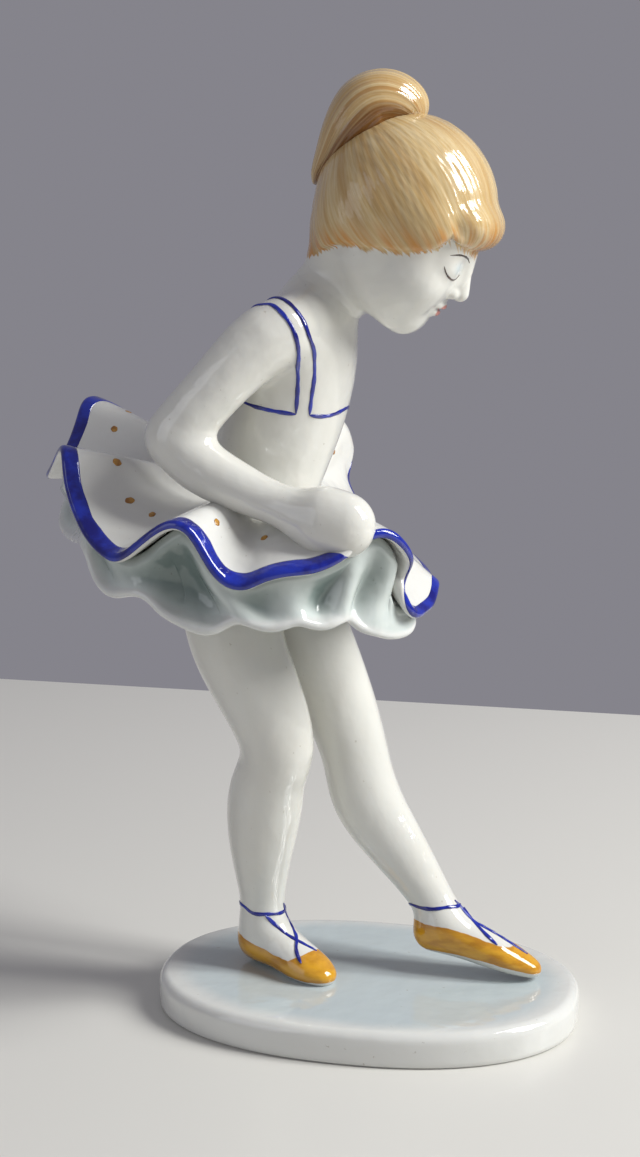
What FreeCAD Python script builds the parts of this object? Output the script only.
import FreeCAD, Part
import math
import os

# A slip-cast porcelain figurine of a young ballet dancer on an oval plinth.
# Millimetres, +Z up, +X the way the dancer faces, +Y to the dancer's left.
# The origin is the centre of the plinth's underside.
# Each piece below comes out of its own plaster mould and is joined to its
# neighbours with slip before the glaze firing, so neighbours meet face to face.

V = FreeCAD.Vector

# ---- driving dimensions -------------------------------------------------
PLINTH_HALF_LENGTH = 46.5
PLINTH_HALF_WIDTH = 32.4
PLINTH_HEIGHT = 7.5
PLINTH_ROUNDNESS = 2.25        # exponent of the plan outline, 2 is an ellipse
PLINTH_TOP_FILLET = 2.0
PLINTH_FOOT_FILLET = 0.6
PLINTH_RIM = 3.6               # width of the foot ring underneath
PLINTH_RECESS = 5.0            # depth of the hollow underneath

WALL = 2.6                     # thickness of the slip-cast body and head
TIER_THICKNESS = 2.2           # thickness of a skirt tier
CAVITY_BASE = 97.5             # height of the floor of the hollow in the torso
VENT_RADIUS = 1.0              # hole that lets air out of the body in firing
VENT_DEPTH = 12.0
VENT_MOUTH = V(-24.5, 0.0, 90.0)

HEAD_CENTRE = V(7.5, 0.0, 174.0)
HEAD_TILT = 32.0               # degrees the face looks down
NECK_JOINT = V(-4.6, 0.0, 160.2)
NECK_LEAN = 38.0               # degrees the neck leans forward from upright
NOSE_HALF_WIDTH = 2.6

RIGHT_FOOT_HEEL = V(-29.3, 4.0, 0.0)
RIGHT_FOOT_YAW = -29.5         # degrees, turned out to the dancer's right
SOLE_SINK = 1.2                # how far a sole is bedded in the plinth before it is trimmed

SKIRT_CENTRE = V(-28.5, 0.0, 0.0)
UPPER_WAIST = (V(-20.6, 0.0, 118.0), 8.8, 11.4)   # centre, half depth, half width
LOWER_WAIST = (V(-22.6, 0.0, 111.8), 9.9, 12.8)

TIER_BOW = 4.0                 # how far a tier arches above a straight cone
TIER_FADE = 1.2                # how quickly the ruffles die away towards the waist
TIER_LIP = 0.012               # share of the reach by which the rounded rim stands out
RIGHT_HAND_REST = (-2.0, -27.0, 109.6, 20.0)      # x, y, z and slope of the skirt there
LEFT_HAND_REST = (-24.0, -33.0, 121.0, 14.0)

RING_POINTS = 32               # points round each cross-section
TIER_POINTS = 60               # points round each ring of a skirt tier
BLOCK = 300.0                  # side of a trimming block, larger than the whole piece


# ---- building blocks ----------------------------------------------------
def closed_spline(points):
    curve = Part.BSplineCurve()
    curve.interpolate(points, PeriodicFlag=True)
    return curve


def ring(points):
    return Part.Wire(closed_spline(points).toShape())


def power(value, exponent):
    return math.copysign(abs(value) ** exponent, value)


def oval_ring(centre, front, side, half_depth, half_width, roundness=2.0, nose=0.0):
    """A closed oval about centre; nose adds a narrow bulge at its front."""
    points = []
    for i in range(RING_POINTS):
        angle = 2 * math.pi * i / RING_POINTS
        along = half_depth * power(math.cos(angle), 2 / roundness)
        across = half_width * power(math.sin(angle), 2 / roundness)
        if along > 0:
            along += nose * math.exp(-(across / NOSE_HALF_WIDTH) ** 2)
        points.append(centre + front * along + side * across)
    return ring(points)


def loft(rings):
    solid = Part.makeLoft(rings, True, False)
    if solid.Volume < 0:
        solid.reverse()
    return solid


def limb(stations):
    """A rounded limb through (x, y, z, half depth, half width) stations."""
    centres = [V(*station[:3]) for station in stations]
    rings = []
    for i, station in enumerate(stations):
        before = centres[max(i - 1, 0)]
        after = centres[min(i + 1, len(centres) - 1)]
        along = (after - before).normalize()
        side = (V(0, 1, 0) - along * along.y).normalize()
        front = side.cross(along)
        rings.append(oval_ring(centres[i], front, side, station[3], station[4]))
    return loft(rings)


def joined(*solids):
    body = solids[0].fuse(list(solids[1:]))
    return body.removeSplitter()


def biggest(shape):
    return max(shape.Solids, key=lambda solid: solid.Volume)


# ---- plinth -------------------------------------------------------------
def plinth_outline(inset, height):
    points = []
    for i in range(TIER_POINTS):
        angle = 2 * math.pi * i / TIER_POINTS
        x = (PLINTH_HALF_LENGTH - inset) * power(math.cos(angle), 2 / PLINTH_ROUNDNESS)
        y = (PLINTH_HALF_WIDTH - inset) * power(math.sin(angle), 2 / PLINTH_ROUNDNESS)
        points.append(V(x, y, height))
    return ring(points)


def make_plinth():
    """An oval slab on a foot ring, hollow underneath."""
    slab = Part.Face(plinth_outline(0.0, 0.0)).extrude(V(0, 0, PLINTH_HEIGHT))
    top = [edge for edge in slab.Edges if edge.BoundBox.ZMin > PLINTH_HEIGHT - 0.01]
    slab = slab.makeFillet(PLINTH_TOP_FILLET, top)
    foot = [edge for edge in slab.Edges if edge.BoundBox.ZMax < 0.01]
    slab = slab.makeFillet(PLINTH_FOOT_FILLET, foot)
    recess = Part.Face(plinth_outline(PLINTH_RIM, 0.0)).extrude(V(0, 0, PLINTH_RECESS))
    return slab.cut(recess)


# ---- legs ---------------------------------------------------------------
def make_right_leg():
    """The straight leg the dancer stands on, with its foot flat on the plinth."""
    shank = limb([
        (-29.5, -8.4, 100.0, 10.4, 8.0),
        (-28.6, -8.6, 92.0, 10.8, 8.2),
        (-26.8, -9.0, 83.0, 10.3, 8.4),
        (-22.3, -9.0, 72.5, 9.3, 8.2),
        (-18.4, -8.0, 61.0, 8.2, 7.6),
        (-20.4, -6.6, 53.0, 8.0, 7.4),
        (-22.0, -5.0, 46.0, 8.4, 7.3),
        (-23.2, -3.4, 35.0, 7.0, 6.3),
        (-23.6, -1.4, 24.0, 5.2, 4.9),
        (-23.6, -0.8, 17.0, 5.2, 5.0),
        (-23.4, -0.8, 12.0, 4.6, 4.6),
    ])
    yaw = math.radians(RIGHT_FOOT_YAW)
    ahead = V(math.cos(yaw), math.sin(yaw), 0)
    side = V(math.sin(yaw), -math.cos(yaw), 0)
    sole = PLINTH_HEIGHT - SOLE_SINK
    rings = []
    # distance from the heel, half width, top of the foot
    for reach, half_width, top in [(0.5, 2.2, 11.8), (2.2, 3.9, 15.0), (6.0, 5.0, 18.5),
                                   (11.0, 5.1, 17.6), (16.0, 5.3, 14.6), (21.0, 5.6, 12.4),
                                   (25.5, 4.6, 11.0), (28.8, 2.0, 9.2)]:
        centre = RIGHT_FOOT_HEEL + ahead * reach + V(0, 0, (sole + top) / 2)
        half = (top - sole) / 2
        rings.append(oval_ring(centre, V(0, 0, 1), side, half, half_width, 2.3))
    return joined(shank, loft(rings))


def make_left_leg():
    """The leg stretched forward, its heel lifted and its toe on the plinth."""
    shank = limb([
        (-22.0, 8.4, 100.0, 10.0, 8.0),
        (-19.6, 8.8, 92.0, 10.0, 8.2),
        (-15.6, 9.0, 82.0, 9.4, 8.2),
        (-11.2, 9.0, 72.0, 8.8, 8.0),
        (-6.9, 8.8, 61.5, 8.0, 7.5),
        (-4.2, 8.4, 52.5, 7.7, 7.2),
        (-1.2, 7.9, 43.9, 7.8, 7.1),
        (6.0, 7.2, 33.5, 6.4, 6.0),
        (13.2, 6.4, 23.5, 4.9, 4.8),
        (16.6, 5.6, 17.5, 4.6, 4.6),
        (18.2, 5.3, 14.6, 3.4, 3.6),
    ])
    rings = []
    # x and y of the section, its underside and top, half width
    for x, y, low, top, half_width in [(9.6, 5.2, 13.9, 16.4, 1.6), (11.0, 5.2, 12.3, 18.5, 3.6),
                                       (15.0, 5.1, 11.6, 20.6, 4.7), (20.5, 4.9, 11.2, 20.6, 4.9),
                                       (26.0, 4.5, 10.4, 17.8, 5.1), (31.0, 4.2, 9.0, 14.6, 5.1),
                                       (35.5, 4.0, 7.1, 11.9, 4.2), (38.9, 3.9, 6.9, 9.4, 1.8)]:
        centre = V(x, y, (low + top) / 2)
        half = (top - low) / 2
        rings.append(oval_ring(centre, V(0, 0, 1), V(0, -1, 0), half, half_width, 2.2))
    return joined(shank, loft(rings))


# ---- torso --------------------------------------------------------------
TORSO = [
    # x, z, half depth, half width, lean in degrees
    (-27.0, 95.0, 10.5, 14.6, 0),
    (-26.0, 103.0, 12.4, 15.6, 6),
    (-23.2, 111.0, 11.2, 14.2, 12),
    (-20.6, 118.0, 10.0, 12.6, 12),
    (-17.5, 127.6, 10.5, 13.0, 10),
    (-15.0, 138.0, 11.2, 14.6, 8),
    (-13.2, 146.0, 10.4, 15.6, 10),
    (-12.0, 151.5, 8.7, 13.4, 18),
    (-9.7, 155.6, 7.5, 9.0, 28),
    (-6.7, 159.0, 7.1, 7.4, 36),
    (-1.0, 166.0, 7.0, 7.2, 38),
]


def torso_form(shrink):
    rings = []
    for x, z, half_depth, half_width, lean in TORSO:
        angle = math.radians(lean)
        front = V(math.cos(angle), 0, -math.sin(angle))
        rings.append(oval_ring(V(x, 0, z), front, V(0, 1, 0), half_depth - shrink,
                               half_width - shrink, 2.15))
    return loft(rings)


def neck_plane_box(above):
    """A large block on one side of the plane where head and neck meet."""
    corner = V(-BLOCK / 2, -BLOCK / 2, 0 if above else -BLOCK)
    block = Part.makeBox(BLOCK, BLOCK, BLOCK, corner)
    block.rotate(V(0, 0, 0), V(0, 1, 0), NECK_LEAN)
    block.translate(NECK_JOINT)
    return block


def make_torso(outer):
    """The slip-cast body, closed at the hips but for a small vent."""
    below = Part.makeBox(BLOCK, BLOCK, BLOCK, V(-BLOCK / 2, -BLOCK / 2, CAVITY_BASE - BLOCK))
    hollow = torso_form(WALL).cut(below)
    vent = Part.makeCylinder(VENT_RADIUS, VENT_DEPTH, VENT_MOUTH, V(0, 0, 1))
    return outer.cut(hollow).cut(vent)


# ---- head ---------------------------------------------------------------
HEAD = [
    # height on the head's axis, reach to the back, reach to the front, half width, nose
    (-23.0, -8.4, 12.6, 1.8, 0.0),
    (-22.2, -5.0, 14.8, 3.8, 0.0),
    (-20.4, -0.4, 16.4, 6.6, 0.0),
    (-17.0, 8.6, 17.0, 9.6, 0.0),
    (-12.4, 14.8, 17.6, 12.6, 0.9),
    (-9.4, 16.6, 17.8, 14.2, 2.6),
    (-6.0, 17.8, 17.8, 15.3, 1.4),
    (-1.5, 19.3, 17.8, 16.5, 0.2),
    (3.0, 19.8, 19.2, 17.4, 0.0),
    (8.0, 19.4, 19.4, 17.4, 0.0),
    (12.0, 17.6, 17.2, 15.8, 0.0),
    (15.4, 14.2, 13.6, 12.8, 0.0),
    (17.7, 9.0, 8.6, 8.4, 0.0),
    (18.6, 3.6, 3.4, 3.4, 0.0),
]
CAVITY_FLOOR = 4               # the head is hollow from this section of HEAD up


def head_form(sections, shrink=0.0):
    tilt = math.radians(HEAD_TILT)
    front = V(math.cos(tilt), 0, -math.sin(tilt))
    up = V(math.sin(tilt), 0, math.cos(tilt))
    crown = HEAD[-1][0]
    rings = []
    for height, back, ahead, half_width, nose in sections:
        centre = HEAD_CENTRE + up * (height * (crown - shrink) / crown)
        centre += front * ((ahead - back) / 2)
        rings.append(oval_ring(centre, front, V(0, 1, 0), (ahead + back) / 2 - shrink,
                               half_width - shrink, 2.0, 0.0 if shrink else nose))
    return loft(rings)


def make_head(outer):
    """The hollow head on the upper part of the neck."""
    neck = torso_form(0.0).cut(neck_plane_box(False))
    cavity = head_form(HEAD[CAVITY_FLOOR:], WALL)
    return joined(outer, neck).cut(cavity).cut(torso_form(WALL))


def make_topknot():
    """The swept-up hair, luted to the crown with its tip down the back."""
    return limb([
        (11.4, 0.0, 194.6, 1.6, 2.4),
        (8.6, 0.0, 195.8, 3.8, 5.4),
        (4.6, 0.0, 195.4, 5.7, 8.2),
        (-0.4, 0.0, 192.4, 6.9, 9.8),
        (-4.8, 0.0, 188.4, 6.2, 9.6),
        (-8.0, 0.0, 184.6, 4.4, 7.6),
        (-10.4, 0.0, 181.6, 2.4, 4.6),
        (-11.8, 0.0, 179.8, 0.9, 1.8),
    ])


# ---- arms ---------------------------------------------------------------
UPPER_ARM = [
    (-12.6, -12.0, 147.0, 6.0, 5.4),
    (-16.0, -15.8, 149.0, 7.0, 6.4),
    (-20.0, -18.0, 146.0, 7.0, 6.4),
    (-26.2, -20.6, 139.2, 6.2, 5.9),
    (-32.0, -22.0, 132.6, 6.1, 5.8),
    (-35.8, -22.4, 128.4, 6.0, 5.6),
]
ELBOW_RADIUS = 6.5
ELBOW = V(-35.8, -22.4, 127.6)
RIGHT_FOREARM = [
    (-36.2, -22.4, 125.6, 5.4, 5.4),
    (-31.0, -23.2, 122.4, 5.7, 5.6),
    (-24.6, -24.2, 119.2, 5.3, 5.2),
    (-17.6, -25.2, 116.4, 4.9, 4.7),
    (-11.4, -26.0, 114.4, 4.9, 4.6),
    (-6.0, -26.6, 112.8, 6.6, 5.2),
    (-0.6, -27.0, 111.4, 7.4, 5.6),
    (3.2, -27.2, 110.4, 5.6, 4.6),
    (5.2, -27.2, 109.8, 2.4, 2.4),
]
LEFT_FOREARM = [
    (-37.0, -22.6, 127.0, 5.4, 5.4),
    (-34.4, -25.2, 125.2, 5.7, 5.5),
    (-31.4, -28.0, 124.0, 5.2, 5.0),
    (-28.6, -30.6, 123.2, 4.8, 4.6),
    (-26.0, -33.0, 122.6, 5.6, 5.2),
    (-23.6, -35.0, 122.0, 6.2, 5.6),
    (-21.6, -36.8, 121.4, 4.6, 4.2),
    (-20.8, -37.6, 121.0, 2.2, 2.0),
]


def make_arm(forearm):
    """A bent arm on the dancer's right, with its closed hand on the skirt."""
    elbow = Part.makeSphere(ELBOW_RADIUS, ELBOW)
    return joined(limb(UPPER_ARM), elbow, limb(forearm))


def hand_rest(hand):
    """The space under a hand, down from the sloping skirt that it holds."""
    x, y, z, slope = hand
    block = Part.makeBox(BLOCK, BLOCK, BLOCK, V(-BLOCK / 2, -BLOCK / 2, -BLOCK))
    block.rotate(V(0, 0, 0), V(1, 0, 0), slope)
    block.translate(V(x, y, z))
    return block


def mirrored(shape):
    return shape.mirror(V(0, 0, 0), V(0, 1, 0))


# ---- skirt --------------------------------------------------------------
# Rim of a tier, in order round it from the dancer's front through the right, back and left.
UPPER_RIM = [
    (15.6, -1.0, 94.5), (14.5, -10.0, 91.2), (11.5, -16.5, 93.6), (10.4, -15.5, 100.0),
    (11.2, -22.5, 107.4), (3.7, -29.0, 108.2), (-1.8, -33.2, 103.1), (-9.5, -36.4, 102.2),
    (-17.1, -38.0, 100.5), (-23.6, -38.8, 104.2), (-28.4, -39.4, 110.4), (-35.6, -38.6, 109.6),
    (-43.7, -35.8, 104.7), (-51.8, -30.8, 108.0), (-58.6, -24.0, 118.5), (-66.1, -11.0, 120.3),
    (-71.9, 4.5, 117.1), (-69.9, 15.0, 127.7), (-62.8, 27.5, 126.2), (-47.1, 37.0, 122.8),
    (-31.3, 38.5, 121.7), (-19.3, 38.6, 122.9), (-12.2, 36.6, 119.1), (-10.8, 30.0, 109.6),
    (2.2, 21.0, 98.4), (12.1, 8.5, 94.7),
]
LOWER_RIM = [
    (8.6, -1.0, 90.7), (11.1, -10.0, 88.8), (9.1, -16.0, 87.6), (5.9, -20.5, 88.8),
    (2.5, -24.0, 91.0), (0.4, -27.5, 92.8), (-3.1, -31.0, 91.8), (-8.0, -33.5, 92.9),
    (-13.8, -35.4, 92.0), (-19.0, -36.0, 93.3), (-24.0, -37.0, 91.0), (-31.3, -37.0, 92.6),
    (-37.9, -35.4, 96.9), (-46.1, -32.0, 96.7), (-52.9, -27.0, 101.5), (-59.5, -16.0, 104.7),
    (-69.1, 0.0, 106.3), (-68.9, 14.0, 115.6), (-60.4, 25.5, 114.4), (-46.2, 34.2, 111.4),
    (-32.1, 35.8, 109.7), (-20.4, 35.0, 112.5), (-12.5, 31.6, 109.1), (-9.5, 26.4, 98.6),
    (-0.5, 18.5, 91.2), (6.0, 8.0, 90.1),
]


def tier(waist, rim):
    """A ruffled sheet from the waist out to the rim, with a rounded edge."""
    waist_centre, half_depth, half_width = waist
    rim_curve = closed_spline([V(*point) for point in rim])
    first, last = rim_curve.FirstParameter, rim_curve.LastParameter
    mean_height = sum(point[2] for point in rim) / len(rim)

    def tier_ring(out, drop):
        points = []
        for i in range(TIER_POINTS):
            edge = rim_curve.value(first + (last - first) * i / TIER_POINTS)
            angle = math.atan2(edge.y - SKIRT_CENTRE.y, edge.x - SKIRT_CENTRE.x)
            start = waist_centre + V(half_depth * math.cos(angle), half_width * math.sin(angle), 0)
            x = start.x + (edge.x - start.x) * out
            y = start.y + (edge.y - start.y) * out
            level = start.z + (mean_height - start.z) * out + TIER_BOW * out * (1 - out)
            z = level + (edge.z - mean_height) * out ** TIER_FADE - drop
            points.append(V(x, y, z))
        return ring(points)

    steps = [0.0, 0.25, 0.5, 0.75, 1.0]
    over = [tier_ring(out, 0.0) for out in steps]
    under = [tier_ring(out, TIER_THICKNESS) for out in steps]
    edge = tier_ring(1.0 + TIER_LIP, TIER_THICKNESS / 2)
    sheets = [Part.makeLoft(over, False, False),
              Part.makeLoft([over[-1], edge, under[-1]], False, False),
              Part.makeLoft(under, False, False),
              Part.makeLoft([over[0], under[0]], False, True)]
    shell = Part.makeShell([face for sheet in sheets for face in sheet.Faces])
    shell.sewShape()
    return Part.makeSolid(shell)


# ---- assembly -----------------------------------------------------------
def build():
    plinth = make_plinth()
    head_outer = head_form(HEAD)
    torso_outer = torso_form(0.0).cut(neck_plane_box(True)).cut(head_outer)
    right_leg = make_right_leg().cut(plinth).cut(torso_outer)
    left_leg = make_left_leg().cut(plinth).cut(torso_outer)
    right_arm = make_arm(RIGHT_FOREARM).cut(torso_outer).cut(hand_rest(RIGHT_HAND_REST))
    left_arm = make_arm(LEFT_FOREARM).cut(torso_outer).cut(hand_rest(LEFT_HAND_REST))
    pieces = {
        "plinth": plinth,
        "right_leg": right_leg,
        "left_leg": left_leg,
        "torso": make_torso(torso_outer),
        "head": make_head(head_outer),
        "topknot": make_topknot().cut(head_outer),
        "right_arm": right_arm,
        "left_arm": mirrored(left_arm),
        "upper_skirt_tier": tier(UPPER_WAIST, UPPER_RIM).cut(torso_outer),
        "lower_skirt_tier": tier(LOWER_WAIST, LOWER_RIM).cut(torso_outer),
    }
    os.makedirs("parts", exist_ok=True)
    for name, shape in pieces.items():
        solid = biggest(shape)
        print(name, len(shape.Solids), solid.isValid(), round(solid.Volume / 1000, 2))
        solid.exportStep("parts/" + name + ".step")


build()
